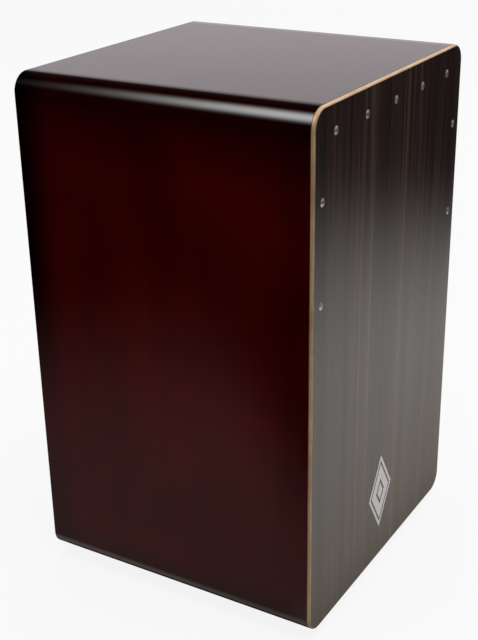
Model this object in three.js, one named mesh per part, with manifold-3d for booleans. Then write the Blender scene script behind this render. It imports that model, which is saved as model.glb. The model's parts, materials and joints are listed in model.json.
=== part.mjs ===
// Cajon: a wooden box drum played on its thin front plate, with a turnable snare inside.
// Millimetres. +Z is up, the playing plate faces -Y, and left and right are as seen from the front.
// The origin is on the floor, under the centre of the box.
import * as THREE from 'three';
import { mergeVertices } from 'three/addons/utils/BufferGeometryUtils.js';
import Module from 'manifold-3d';

const wasm = await Module();
wasm.setup();

// ---- Driving dimensions -------------------------------------------------------------------

const boxWidth = 300;
const boxDepth = 290; // from the plate's face to the back of the box
const boxHeight = 480;
const footHeight = 10;
const edgeRadius = 17; // round-over of the four long edges, and of the plate's corners
const wall = 10; // plywood of the sides, top and bottom
const plateThickness = 3.5;
const backThickness = 6;
const backGap = 0.5; // round the inset back panel
const battenSize = 20; // square section of the glued frames at the front and back
const fitGap = 0.3; // clearance between a turning or tilted piece and its neighbour
const quarterTurn = Math.PI / 2;

// Playing plate screws: a row along the top, and two down each side
const topRowSpacing = 57;
const topRowBelowTop = 23;
const sideScrewInset = 14;
const sideScrewsBelowTop = [75, 162];

// Sound hole in the back panel
const soundHoleRadius = 57.5;
const soundHoleHeight = 302; // of its centre above the floor

// Rubber feet
const footRadius = 18;
const footSoleRadius = 16;
const footInset = 40; // from the box's sides to a foot's centre
const footRecessRadius = 6;
const footRecessDepth = 5;

// Snare: a dowel with a flat and two turned journals, held in two blocks
const snareBarRadius = 10;
const snareBarHalf = 99; // half the length of the full-thickness part
const snareFlat = 7; // from the bar's axis to its flat
const journalRadius = 6;
const journalEndGap = 0.5; // from a journal's end to the batten
const snareBehindPlate = 16.5; // from the plate's inner face to the bar's axis
const snareHeight = 346; // of the bar's axis above the floor
const blockWidth = 20;
const blockFrontGap = 2.5; // from the plate to a block
const blockDepth = 35;
const blockHeight = 32;
const strandCount = 10;
const strandRadius = 1.2;
const strandSpacing = 4;
const strandLength = 88;
const strandFan = THREE.MathUtils.degToRad(12); // the two sets open like a V
const strandPlateGap = 0.4; // strand tips to the plate at rest
const clipWidth = 56;
const clipHeight = 10;
const clipThickness = 3;
const clipCentre = 45; // from the middle of the bar to the middle of a set
const clipScrewOffset = 24;

// Lock screws: thumb screws through the blocks' backs, pressing on the journals
const lockScrewRadius = 2.5;
const lockKnobRadius = 8;
const lockKnobLobe = 1;
const lockKnobLobes = 8;
const lockKnobLength = 10;
const lockKnobGap = 1; // between a block and its knob

// Screw sizes. The plate's and the back panel's are countersunk, and the others have pan heads.
const screwSink = 0.2; // from a board's face down to its screw heads
const plateScrew = { headRadius: 3.6, rim: 0.3, shankRadius: 1.75, length: 20 };
const backScrew = { headRadius: 3.6, rim: 0.3, shankRadius: 1.75, length: 18 };
const footScrew = { headRadius: 4.2, headHeight: 2.6, shankRadius: 1.75, length: 12 };
const wireScrew = { headRadius: 2.6, headHeight: 1.6, shankRadius: 1.2, length: 9 };

// ---- Places worked out from them ----------------------------------------------------------

const halfWidth = boxWidth / 2;
const plateFront = -boxDepth / 2;
const plateBack = plateFront + plateThickness;
const shellBack = boxDepth / 2;
const backPanelInner = shellBack - backThickness;
const boxBottom = footHeight;
const boxTop = footHeight + boxHeight;
const insideX = halfWidth - wall;
const insideBottom = boxBottom + wall;
const insideTop = boxTop - wall;
const frontBattenBack = plateBack + battenSize;
const backBattenFront = backPanelInner - battenSize;
const snareY = plateBack + snareBehindPlate;
const blockInner = insideX - battenSize - blockWidth;
const blockFront = plateBack + blockFrontGap;
const blockBack = blockFront + blockDepth;

// ---- Materials ----------------------------------------------------------------------------

function finish(color, roughness, metalness) {
  return new THREE.MeshStandardMaterial({ color, roughness, metalness });
}

const lacquer = finish(0x3a0f10, 0.12, 0);
const veneer = finish(0x3b322f, 0.3, 0);
const bareWood = finish(0xc8a87c, 0.65, 0);
const bareDowel = finish(0xd6bd92, 0.6, 0);
const steel = finish(0xc9c9cc, 0.25, 1);
const springSteel = finish(0xb4b5b8, 0.3, 1);
const blackRubber = finish(0x1b1b1c, 0.85, 0);

// ---- Shape helpers ------------------------------------------------------------------------

function toSolid(geometry) {
  const bare = geometry.clone();
  bare.deleteAttribute('normal');
  bare.deleteAttribute('uv');
  const merged = mergeVertices(bare);
  return new wasm.Manifold(new wasm.Mesh({
    numProp: 3,
    vertProperties: new Float32Array(merged.attributes.position.array),
    triVerts: new Uint32Array(merged.index.array),
  }));
}

function toGeometry(solid) {
  const { vertProperties, triVerts } = solid.getMesh();
  const geometry = new THREE.BufferGeometry();
  geometry.setAttribute('position', new THREE.BufferAttribute(vertProperties, 3));
  geometry.setIndex(new THREE.BufferAttribute(triVerts, 1));
  geometry.computeVertexNormals();
  return geometry;
}

function cut(geometry, tools) {
  let solid = toSolid(geometry);
  for (const tool of tools) {
    solid = solid.subtract(toSolid(tool));
  }
  return toGeometry(solid);
}

function join(geometries) {
  let solid = toSolid(geometries[0]);
  for (const geometry of geometries.slice(1)) {
    solid = solid.add(toSolid(geometry));
  }
  return toGeometry(solid);
}

// A box between two corners
function boxBetween([x0, y0, z0], [x1, y1, z1]) {
  const geometry = new THREE.BoxGeometry(x1 - x0, y1 - y0, z1 - z0);
  return geometry.translate((x0 + x1) / 2, (y0 + y1) / 2, (z0 + z1) / 2);
}

// A round rod between two points
function rodBetween(start, end, radius, facets = 16) {
  const from = new THREE.Vector3(...start);
  const along = new THREE.Vector3(...end).sub(from);
  const geometry = new THREE.CylinderGeometry(radius, radius, along.length(), facets);
  const turn = new THREE.Quaternion().setFromUnitVectors(
    new THREE.Vector3(0, 1, 0), along.clone().normalize());
  const middle = from.addScaledVector(along, 0.5);
  return geometry.applyQuaternion(turn).translate(middle.x, middle.y, middle.z);
}

// A flat outline in x and z, pulled through the depth from front to back
function prism(outline, front, back, curveSegments = 8) {
  const geometry = new THREE.ExtrudeGeometry(outline, {
    depth: back - front, bevelEnabled: false, curveSegments,
  });
  return geometry.rotateX(quarterTurn).translate(0, back, 0);
}

// A solid of revolution about the Y axis, from [radius, y] points in order of y
function turned(profile, facets = 16) {
  return new THREE.LatheGeometry(profile.map(([r, y]) => new THREE.Vector2(r, y)), facets);
}

// A screw's shank and point, from y = start
function shankProfile(radius, start, length) {
  return [[radius, start], [radius, length - radius * 2], [0, length]];
}

// The two crossed bars cut into a screw's head, from its top down to the floor
function crossRecess(headRadius, top, floor) {
  const reach = headRadius * 0.55;
  const slot = headRadius * 0.13;
  return [
    boxBetween([-reach, top - 1, -slot], [reach, floor, slot]),
    boxBetween([-slot, top - 1, -reach], [slot, floor, reach]),
  ];
}

// A pan-head wood screw with a cross recess: its head faces -Y, and its seat is at y = 0
function screwGeometry({ headRadius, headHeight, shankRadius, length }) {
  const rim = headHeight * 0.3;
  const dome = headHeight - rim;
  const domeSteps = 3;
  const profile = [];
  for (let i = 0; i <= domeSteps; i += 1) {
    const angle = (i / domeSteps) * quarterTurn;
    profile.push([headRadius * Math.sin(angle), -rim - dome * Math.cos(angle)]);
  }
  profile.push([headRadius, 0], ...shankProfile(shankRadius, 0, length));
  return cut(turned(profile), crossRecess(headRadius, -headHeight, -headHeight * 0.45));
}

// A countersunk wood screw with a cross recess: its flat head faces -Y, with its top at y = 0
function countersunkScrewGeometry({ headRadius, rim, shankRadius, length }) {
  const coneEnd = rim + headRadius - shankRadius;
  const profile = [[0, 0], [headRadius, 0], [headRadius, rim]];
  profile.push(...shankProfile(shankRadius, coneEnd, length));
  return cut(turned(profile), crossRecess(headRadius, 0, coneEnd * 0.6));
}

// Clearance for a countersunk screw through a board whose face is at y = 0
function countersunkHole({ headRadius, rim, shankRadius }, depth) {
  const coneEnd = rim + headRadius - shankRadius;
  const head = headRadius + fitGap;
  const shank = shankRadius + fitGap;
  return turned([[0, -1], [head, -1], [head, screwSink + rim], [shank, screwSink + coneEnd],
    [shank, depth + 1], [0, depth + 1]]);
}

// Clearance hole for a screw's shank, along Y
function screwHole(screw, x, z, front, back) {
  return rodBetween([x, front, z], [x, back, z], screw.shankRadius + fitGap);
}

// ---- The assembly -------------------------------------------------------------------------

const cajon = new THREE.Group();

function add(name, geometry, material, parent = cajon) {
  const mesh = new THREE.Mesh(geometry, material);
  mesh.name = name;
  parent.add(mesh);
  return mesh;
}

// ---- Shell: four panels between four round-over rails ---------------------------------------

const panelX = halfWidth - edgeRadius;
const panelBottom = boxBottom + edgeRadius;
const panelTop = boxTop - edgeRadius;

function footCentres() {
  const x = halfWidth - footInset;
  const y = shellBack - footInset;
  return [[-x, -y], [x, -y], [-x, y], [x, y]];
}

function addShell() {
  add('left_side_panel',
    boxBetween([-halfWidth, plateBack, panelBottom], [-insideX, shellBack, panelTop]), lacquer);
  add('right_side_panel',
    boxBetween([insideX, plateBack, panelBottom], [halfWidth, shellBack, panelTop]), lacquer);
  add('top_panel',
    boxBetween([-panelX, plateBack, insideTop], [panelX, shellBack, boxTop]), lacquer);

  const screwTop = footRecessDepth + footScrew.length + 1;
  const pilots = footCentres().map(([x, y]) => rodBetween(
    [x, y, boxBottom - 1], [x, y, screwTop], footScrew.shankRadius + fitGap));
  const bottom = boxBetween([-panelX, plateBack, boxBottom], [panelX, shellBack, insideBottom]);
  add('bottom_panel', cut(bottom, pilots), lacquer);
}

// A rail's section: a quarter round outside, and a square step inside that meets the panels
function railSection(sideX, sideZ) {
  const arcX = sideX * panelX;
  const arcZ = sideZ > 0 ? panelTop : panelBottom;
  const outerX = sideX * halfWidth;
  const outerZ = sideZ > 0 ? boxTop : boxBottom;
  const innerX = sideX * insideX;
  const innerZ = sideZ > 0 ? insideTop : insideBottom;
  const startAngle = sideX > 0 ? 0 : Math.PI;
  const endAngle = sideZ > 0 ? quarterTurn : -quarterTurn;
  const section = new THREE.Shape();
  section.moveTo(innerX, arcZ);
  section.lineTo(outerX, arcZ);
  section.absarc(arcX, arcZ, edgeRadius, startAngle, endAngle, sideX * sideZ < 0);
  section.lineTo(arcX, outerZ);
  section.lineTo(arcX, innerZ);
  section.lineTo(innerX, innerZ);
  section.closePath();
  return section;
}

function addRails() {
  for (const [sideX, sideName] of [[-1, 'left'], [1, 'right']]) {
    for (const [sideZ, levelName] of [[1, 'top'], [-1, 'bottom']]) {
      add(`corner_rail_${levelName}_${sideName}`,
        prism(railSection(sideX, sideZ), plateBack, shellBack), lacquer);
    }
  }
}

// ---- Battens: a glued frame behind the plate, and one in front of the back panel ------------

function plateScrewPlaces() {
  const row = [-2, -1, 0, 1, 2].map((step) => [step * topRowSpacing, boxTop - topRowBelowTop]);
  const x = halfWidth - sideScrewInset;
  const sides = sideScrewsBelowTop.flatMap((drop) => [[-x, boxTop - drop], [x, boxTop - drop]]);
  return [...row, ...sides];
}

function backScrewPlaces() {
  const x = insideX - battenSize / 2;
  const low = insideBottom + battenSize / 2;
  const high = insideTop - battenSize / 2;
  const middle = (low + high) / 2;
  return [[-x, high], [0, high], [x, high], [-x, middle], [x, middle], [-x, low], [0, low], [x, low]];
}

// The four battens of one frame, with a pilot hole for each screw that reaches them
function addBattenFrame(prefix, front, back, pilots) {
  const low = insideBottom + battenSize;
  const high = insideTop - battenSize;
  const inner = insideX - battenSize;
  const sections = {
    top: [[-insideX, high], [insideX, insideTop]],
    bottom: [[-insideX, insideBottom], [insideX, low]],
    left: [[-insideX, low], [-inner, high]],
    right: [[inner, low], [insideX, high]],
  };
  for (const [place, [[x0, z0], [x1, z1]]] of Object.entries(sections)) {
    const batten = boxBetween([x0, front, z0], [x1, back, z1]);
    const holes = pilots
      .filter(([x, z]) => x > x0 && x < x1 && z > z0 && z < z1)
      .map(([x, z, start, end, screw]) => screwHole(screw, x, z, start, end));
    add(`${prefix}_batten_${place}`, cut(batten, holes), bareWood);
  }
}

function addBattens() {
  const frontEnd = plateFront + screwSink + plateScrew.length + 1;
  const backEnd = shellBack - screwSink - backScrew.length - 1;
  addBattenFrame('front', plateBack, frontBattenBack,
    plateScrewPlaces().map(([x, z]) => [x, z, plateBack - 1, frontEnd, plateScrew]));
  addBattenFrame('back', backBattenFront, backPanelInner,
    backScrewPlaces().map(([x, z]) => [x, z, backEnd, backPanelInner + 1, backScrew]));
}

// ---- Playing plate and back panel, with their screws ----------------------------------------

function roundedRectangle(x, bottom, top, radius) {
  const outline = new THREE.Shape();
  outline.moveTo(-x + radius, bottom);
  outline.lineTo(x - radius, bottom);
  outline.absarc(x - radius, bottom + radius, radius, -quarterTurn, 0, false);
  outline.lineTo(x, top - radius);
  outline.absarc(x - radius, top - radius, radius, 0, quarterTurn, false);
  outline.lineTo(-x + radius, top);
  outline.absarc(-x + radius, top - radius, radius, quarterTurn, Math.PI, false);
  outline.lineTo(-x, bottom + radius);
  outline.absarc(-x + radius, bottom + radius, radius, Math.PI, 3 * quarterTurn, false);
  outline.closePath();
  return outline;
}

function addPlate() {
  const outline = roundedRectangle(halfWidth, boxBottom, boxTop, edgeRadius);
  const holes = plateScrewPlaces().map(
    ([x, z]) => countersunkHole(plateScrew, plateThickness).translate(x, plateFront, z));
  add('front_plate', cut(prism(outline, plateFront, plateBack), holes), veneer);

  const geometry = countersunkScrewGeometry(plateScrew);
  plateScrewPlaces().forEach(([x, z], index) => {
    const screw = add(`front_plate_screw_${index + 1}`, geometry.clone(), steel);
    screw.position.set(x, plateFront + screwSink, z);
    screw.rotation.y = index; // each recess stops at its own angle
  });
}

function addBackPanel() {
  const x = insideX - backGap;
  const outline = new THREE.Shape();
  outline.moveTo(-x, insideBottom + backGap);
  outline.lineTo(x, insideBottom + backGap);
  outline.lineTo(x, insideTop - backGap);
  outline.lineTo(-x, insideTop - backGap);
  outline.closePath();
  outline.holes = [new THREE.Path().absarc(0, soundHoleHeight, soundHoleRadius, 0, 2 * Math.PI, true)];
  const holeSegments = 16;
  const screwHoles = backScrewPlaces().map(([holeX, holeZ]) => countersunkHole(
    backScrew, backThickness).rotateZ(Math.PI).translate(holeX, shellBack, holeZ));
  add('back_panel',
    cut(prism(outline, backPanelInner, shellBack, holeSegments), screwHoles), lacquer);

  const geometry = countersunkScrewGeometry(backScrew).rotateZ(Math.PI);
  backScrewPlaces().forEach(([screwX, screwZ], index) => {
    const screw = add(`back_panel_screw_${index + 1}`, geometry.clone(), steel);
    screw.position.set(screwX, shellBack - screwSink, screwZ);
    screw.rotation.y = index;
  });
}

// ---- Rubber feet ----------------------------------------------------------------------------

function addFeet() {
  const bore = footScrew.shankRadius + fitGap;
  const soleRound = 1;
  const section = [
    [bore, footRecessDepth],
    [footRecessRadius, footRecessDepth],
    [footRecessRadius, 0],
    [footSoleRadius - soleRound, 0],
    [footSoleRadius, soleRound],
    [footRadius, footHeight],
    [bore, footHeight],
    [bore, footRecessDepth],
  ];
  const foot = turned(section, 32).rotateX(quarterTurn);
  const screw = screwGeometry(footScrew).rotateX(quarterTurn);
  footCentres().forEach(([x, y], index) => {
    add(`rubber_foot_${index + 1}`, foot.clone(), blackRubber).position.set(x, y, 0);
    add(`foot_screw_${index + 1}`, screw.clone(), steel).position.set(x, y, footRecessDepth);
  });
}

// ---- Snare ----------------------------------------------------------------------------------

// In the bar's own frame the axis is X through its origin, and the flat faces -Y
const clipBack = -snareFlat - fitGap;
const clipFront = clipBack - clipThickness;
const strandY = (clipBack + clipFront) / 2;
const wireScrewSeat = clipFront - fitGap;

// The bar leans forward until the strands' tips stand strandPlateGap off the plate
function snareLean() {
  const forward = -strandY;
  const up = strandLength * Math.cos(strandFan);
  const reach = snareBehindPlate - strandPlateGap - strandRadius;
  return Math.atan2(up, forward) - Math.acos(reach / Math.hypot(up, forward));
}

function wireScrewPlaces() {
  return [-1, 1].flatMap((side) => [-1, 1].map(
    (end) => side * clipCentre + end * clipScrewOffset));
}

function snareBarGeometry() {
  const journalEnd = blockInner + blockWidth - journalEndGap;
  const barFacets = 40;
  const bar = join([
    rodBetween([-snareBarHalf, 0, 0], [snareBarHalf, 0, 0], snareBarRadius, barFacets),
    rodBetween([-journalEnd, 0, 0], [journalEnd, 0, 0], journalRadius, barFacets),
  ]);
  const offcut = boxBetween(
    [-snareBarHalf - 1, -2 * snareBarRadius, -2 * snareBarRadius],
    [snareBarHalf + 1, -snareFlat, 2 * snareBarRadius]);
  const pilotEnd = wireScrewSeat + wireScrew.length + 1;
  const pilots = wireScrewPlaces().map(
    (x) => screwHole(wireScrew, x, 0, -snareFlat - 1, pilotEnd));
  return cut(bar, [offcut, ...pilots]);
}

// A folded clip that holds a row of parallel strands, leaning outwards on its own side
function snareWiresGeometry(side) {
  const centre = side * clipCentre;
  const clip = boxBetween(
    [centre - clipWidth / 2, clipFront, -clipHeight / 2],
    [centre + clipWidth / 2, clipBack, clipHeight / 2]);
  const holes = [-1, 1].map((end) => screwHole(
    wireScrew, centre + end * clipScrewOffset, 0, clipFront - 1, clipBack + 1));
  const strands = [];
  const strandFacets = 8;
  for (let i = 0; i < strandCount; i += 1) {
    const x = centre + (i - (strandCount - 1) / 2) * strandSpacing;
    const tipX = x + side * strandLength * Math.sin(strandFan);
    const tipZ = strandLength * Math.cos(strandFan);
    strands.push(rodBetween([x, strandY, 0], [tipX, strandY, tipZ], strandRadius, strandFacets));
  }
  return join([cut(clip, holes), ...strands]);
}

function addSnareBar() {
  const tilted = new THREE.Group();
  tilted.position.set(0, snareY, snareHeight);
  tilted.rotation.x = snareLean();
  cajon.add(tilted);

  add('snare_bar', snareBarGeometry(), bareDowel, tilted);
  add('snare_wires_left', snareWiresGeometry(-1), springSteel, tilted);
  add('snare_wires_right', snareWiresGeometry(1), springSteel, tilted);
  const geometry = screwGeometry(wireScrew);
  wireScrewPlaces().forEach((x, index) => {
    const screw = add(`snare_wire_screw_${index + 1}`, geometry.clone(), steel, tilted);
    screw.position.set(x, wireScrewSeat, 0);
    screw.rotation.y = index;
  });
}

// A block glued to a front batten, bored for the bar's journal and for its lock screw
function snareBlockGeometry(side) {
  const low = side > 0 ? blockInner : -blockInner - blockWidth;
  const block = boxBetween(
    [low, blockFront, snareHeight - blockHeight / 2],
    [low + blockWidth, blockBack, snareHeight + blockHeight / 2]);
  const bore = rodBetween(
    [low - 1, snareY, snareHeight], [low + blockWidth + 1, snareY, snareHeight],
    journalRadius + fitGap, 40);
  const middle = low + blockWidth / 2;
  const lockHole = rodBetween(
    [middle, snareY, snareHeight], [middle, blockBack + 1, snareHeight],
    lockScrewRadius + fitGap);
  return cut(block, [bore, lockHole]);
}

// A lobed knob on a threaded shank; the seat of the knob is at y = 0 and the shank runs to -Y
function lockScrewGeometry() {
  const outline = new THREE.Shape();
  const steps = lockKnobLobes * 6;
  for (let i = 0; i < steps; i += 1) {
    const angle = (i / steps) * 2 * Math.PI;
    const radius = lockKnobRadius + lockKnobLobe * Math.cos(angle * lockKnobLobes);
    const point = [radius * Math.cos(angle), radius * Math.sin(angle)];
    if (i === 0) {
      outline.moveTo(...point);
    } else {
      outline.lineTo(...point);
    }
  }
  outline.closePath();
  const tip = snareY + journalRadius + fitGap - blockBack - lockKnobGap;
  return join([
    prism(outline, 0, lockKnobLength),
    rodBetween([0, tip, 0], [0, lockKnobLength / 2, 0], lockScrewRadius),
  ]);
}

function addSnareBlocks() {
  for (const [side, sideName] of [[-1, 'left'], [1, 'right']]) {
    add(`snare_block_${sideName}`, snareBlockGeometry(side), bareWood);
    const screw = add(`snare_lock_screw_${sideName}`, lockScrewGeometry(), steel);
    screw.position.set(side * (blockInner + blockWidth / 2), blockBack + lockKnobGap, snareHeight);
  }
}

// ---- Put together ---------------------------------------------------------------------------

addShell();
addRails();
addBattens();
addPlate();
addBackPanel();
addFeet();
addSnareBar();
addSnareBlocks();

export default cajon;
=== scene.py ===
import json
import math

import bmesh
import bpy
from mathutils import Matrix, Vector


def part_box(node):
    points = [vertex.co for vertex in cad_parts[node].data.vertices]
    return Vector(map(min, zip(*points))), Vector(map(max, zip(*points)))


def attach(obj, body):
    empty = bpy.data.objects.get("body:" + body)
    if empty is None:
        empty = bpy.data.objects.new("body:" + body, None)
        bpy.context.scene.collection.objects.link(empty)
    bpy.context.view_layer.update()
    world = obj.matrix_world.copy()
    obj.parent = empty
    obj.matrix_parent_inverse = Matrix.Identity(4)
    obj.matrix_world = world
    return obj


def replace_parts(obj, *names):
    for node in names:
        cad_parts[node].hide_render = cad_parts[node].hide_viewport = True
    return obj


# A cajon: a lacquered box drum with a thin veneered playing plate, a sound hole behind and a
# snare inside. Metres, +Z up, the plate faces -Y. Meshes are drawn in millimetres and scaled.

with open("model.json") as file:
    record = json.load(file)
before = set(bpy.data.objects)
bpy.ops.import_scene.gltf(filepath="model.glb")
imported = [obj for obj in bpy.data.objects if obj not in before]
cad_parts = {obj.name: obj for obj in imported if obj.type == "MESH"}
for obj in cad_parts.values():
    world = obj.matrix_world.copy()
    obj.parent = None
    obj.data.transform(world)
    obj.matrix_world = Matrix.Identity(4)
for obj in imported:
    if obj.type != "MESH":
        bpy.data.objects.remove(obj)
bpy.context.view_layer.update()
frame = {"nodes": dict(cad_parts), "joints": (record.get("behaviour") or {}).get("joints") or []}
MM = 0.001
TAU = 2 * math.pi
QUARTER = math.pi / 2

# ---- Sizes taken from the CAD frame ----


def box_mm(node):
    low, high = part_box(node)
    return low / MM, high / MM


PLATE_LOW, PLATE_HIGH = box_mm("front_plate")
SIDE_LOW, SIDE_HIGH = box_mm("left_side_panel")
RAIL_LOW, RAIL_HIGH = box_mm("corner_rail_top_left")
BACK_LOW, BACK_HIGH = box_mm("back_panel")
FOOT_LOW, FOOT_HIGH = box_mm("rubber_foot_1")

HALF_WIDTH = PLATE_HIGH.x
PLATE_FRONT = PLATE_LOW.y
PLATE_BACK = PLATE_HIGH.y
PLATE_THICKNESS = PLATE_BACK - PLATE_FRONT
SHELL_BACK = SIDE_HIGH.y
BOX_BOTTOM = PLATE_LOW.z
BOX_TOP = PLATE_HIGH.z
WALL = SIDE_HIGH.x - SIDE_LOW.x
EDGE_RADIUS = RAIL_HIGH.x - RAIL_LOW.x
INSIDE_X = HALF_WIDTH - WALL
INSIDE_BOTTOM = BOX_BOTTOM + WALL
INSIDE_TOP = BOX_TOP - WALL

JOINTS = {joint["name"]: joint for joint in frame["joints"]}
SNARE_AXIS = Vector(JOINTS["snare_tilt"]["pos_m"]) / MM

# Sizes that only the looks need, in millimetres
RIM_EASE = 0.4  # rounding of the shell's front and back rims
PLATE_EASE = 1.9  # of its front rim, sanded through to the pale wood
VENEER = 0.10  # the plate's dark face layer
SOUND_HOLE_RADIUS = 57.5
SOUND_HOLE_HEIGHT = 302
SCREW_HOLE_RADIUS = 2.05
HEAD_RADIUS = 3.6
HEAD_RIM = 0.3
HEAD_SINK = 0.2  # from a board's face to a countersunk head's rim
HEAD_DOME = 0.75
SHANK_RADIUS = 1.75
THREAD_PITCH = 1.4

# ---- Node graphs ----


class Graph:
    """A material or world node tree, with short calls for the nodes that repeat."""

    def __init__(self, owner):
        owner.use_nodes = True
        self.owner = owner
        self.tree = owner.node_tree
        self.tree.nodes.clear()

    def add(self, kind, **settings):
        node = self.tree.nodes.new(kind)
        for key, value in settings.items():
            setattr(node, key, value)
        return node

    def put(self, socket, value):
        """Links an output to an input, or sets the input's value."""
        if isinstance(value, bpy.types.NodeSocket):
            self.tree.links.new(value, socket)
        else:
            socket.default_value = value

    def feed(self, node, **values):
        """Puts values into inputs, named with _ for a space."""
        for key, value in values.items():
            self.put(node.inputs[key.replace("_", " ")], value)
        return node

    def place(self):
        return self.add("ShaderNodeTexCoord").outputs["Object"]

    def stretched(self, vector, scale):
        node = self.add("ShaderNodeMapping")
        return self.feed(node, Vector=vector, Scale=scale).outputs["Vector"]

    def noise(self, vector, scale=1.0, detail=2.0, roughness=0.5, distortion=0.0):
        node = self.add("ShaderNodeTexNoise")
        return self.feed(node, Vector=vector, Scale=scale, Detail=detail, Roughness=roughness,
                         Distortion=distortion).outputs["Fac"]

    def ramp(self, value, *stops):
        """A colour ramp from (position, colour) stops."""
        node = self.add("ShaderNodeValToRGB")
        elements = node.color_ramp.elements
        while len(elements) < len(stops):
            elements.new(0.5)
        for element, (position, colour) in zip(elements, stops):
            element.position = position
            element.color = with_alpha(colour)
        return self.feed(node, Fac=value).outputs["Color"]

    def math(self, operation, a, b=0.0):
        node = self.add("ShaderNodeMath", operation=operation)
        self.put(node.inputs[0], a)
        self.put(node.inputs[1], b)
        return node.outputs["Value"]

    def times(self, a, b):
        return self.math("MULTIPLY", a, b)

    def weighted(self, *parts):
        """The sum of (value, weight) parts."""
        total, *others = [self.times(value, weight) for value, weight in parts]
        for other in others:
            total = self.math("ADD", total, other)
        return total

    def beyond(self, value, half):
        """How far a value lies outside -half to half, negative inside."""
        return self.math("SUBTRACT", self.math("ABSOLUTE", value), half)

    def range(self, value, low, high, to_low=0.0, to_high=1.0, smooth=False):
        kind = "SMOOTHSTEP" if smooth else "LINEAR"
        node = self.add("ShaderNodeMapRange", interpolation_type=kind)
        return self.feed(node, Value=value, From_Min=low, From_Max=high,
                         To_Min=to_low, To_Max=to_high).outputs["Result"]

    def mix(self, factor, a, b, blend="MIX"):
        node = self.add("ShaderNodeMix", data_type="RGBA", blend_type=blend)
        for name, kind, value in (("Factor", "VALUE", factor), ("A", "RGBA", with_alpha(a)),
                                  ("B", "RGBA", with_alpha(b))):
            self.put(next(s for s in node.inputs if s.name == name and s.type == kind), value)
        return next(s for s in node.outputs if s.type == "RGBA")

    def tinted(self, colour, tint):
        return self.mix(1.0, colour, tint, "MULTIPLY")

    def split(self, vector):
        return self.feed(self.add("ShaderNodeSeparateXYZ"), Vector=vector).outputs

    def bump(self, height, strength, distance):
        node = self.add("ShaderNodeBump")
        return self.feed(node, Height=height, Strength=strength, Distance=distance).outputs["Normal"]

    def emission(self, level):
        return self.feed(self.add("ShaderNodeEmission"), Color=level).outputs["Emission"]

    def diffuse(self, level):
        return self.feed(self.add("ShaderNodeBsdfDiffuse"), Color=grey(level)).outputs["BSDF"]

    def pick(self, factor, otherwise, chosen):
        """One of two shaders."""
        node = self.add("ShaderNodeMixShader")
        for socket, value in zip(node.inputs, (factor, otherwise, chosen)):
            self.put(socket, value)
        return node.outputs["Shader"]

    def output(self, shader, kind="ShaderNodeOutputMaterial"):
        """Puts a shader on the output of the material or world, and returns that."""
        self.put(self.add(kind).inputs["Surface"], shader)
        return self.owner

    def surface(self, **values):
        """A Principled BSDF on the output."""
        shader = self.feed(self.add("ShaderNodeBsdfPrincipled"), **values)
        return self.output(shader.outputs["BSDF"])


def grey(level):
    return (level, level, level, 1)


def with_alpha(colour):
    """A level or three numbers as a full colour. A socket stays as it is."""
    if isinstance(colour, bpy.types.NodeSocket):
        return colour
    return grey(colour) if isinstance(colour, (int, float)) else (*colour, 1)


def new_material(name):
    """A material's graph and its object coordinates."""
    g = Graph(bpy.data.materials.new(name))
    return g, g.place()


# ---- Materials ----


def darker_rims_and_painted_shade(g, place):
    """About 1 in the middle of a side and less towards its rims: painted shade on and just under the
    top's round-over and on the top itself, and darker towards the back, front and bottom rims.
    """
    _, y, z = g.split(place)
    back_edge = g.range(z, 0.16, 0.30, 0.62, 0.12, smooth=True)
    past_back = g.range(y, 0.104, 0.143, smooth=True)
    back = g.mix(past_back, 1.0, back_edge)
    front = g.range(y, -0.142, -0.080, 0.74, 1.0, smooth=True)
    # Painted shade: darkest on and just under the top's round-over and on the top.
    height = g.ramp(g.math("DIVIDE", z, BOX_TOP * MM),
                    (0.0, 0.35), (0.06, 0.55), (0.11, 0.93), (0.20, 1.0), (0.42, 0.93),
                    (0.60, 0.76), (0.85, 0.76), (0.94, 0.36), (0.975, 0.14), (1.0, 0.06))
    return g.times(g.times(back, front), height)


def grain(g, place, bands, fibres, distortion, share):
    """Broad bands and fine fibres of wood added up, and the fibres alone."""
    broad = g.noise(g.stretched(place, bands), detail=3, distortion=distortion)
    fine = g.noise(g.stretched(place, fibres), detail=3, roughness=0.65)
    return g.weighted((broad, share), (fine, 1 - share)), fine


def lacquer_material():
    """Dark red stained veneer under a deep gloss coat; its grain runs round the box."""
    g, place = new_material("red_lacquer")
    figure, _ = grain(g, place, (2, 45, 2), (14, 700, 14), 0.4, 0.6)
    colour = g.ramp(figure,
                    (0.30, (0.060, 0.0007, 0.0006)),
                    (0.52, (0.078, 0.0011, 0.0008)),
                    (0.75, (0.100, 0.0016, 0.0013)))
    clouds = g.range(g.noise(place, scale=7, detail=2, distortion=0.6), 0.40, 0.70, 0.84, 1.42)
    # Painted shade towards the rims, times a random patchy tone.
    colour = g.tinted(colour, g.times(darker_rims_and_painted_shade(g, place), clouds))
    smudges = g.noise(place, scale=9, detail=4, roughness=0.6)
    coat_roughness = g.range(smudges, 0.35, 0.75, 0.06, 0.09)
    ripple = g.bump(g.noise(place, scale=260, detail=1), 0.02, 0.0004)
    return g.surface(
        Base_Color=colour, Roughness=0.5, Specular_IOR_Level=0.0,
        Coat_Weight=1.0, Coat_Roughness=coat_roughness, Coat_Normal=ripple)


def streaks(g, place, across, along, offset=0.0):
    """Noise drawn out up the plate: across and along are streaks per metre."""
    node = g.add("ShaderNodeMapping")
    g.feed(node, Vector=place, Scale=(across, 1, along), Location=(offset, 0, offset))
    return g.noise(node.outputs["Vector"], roughness=0.55, distortion=0.15)


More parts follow.
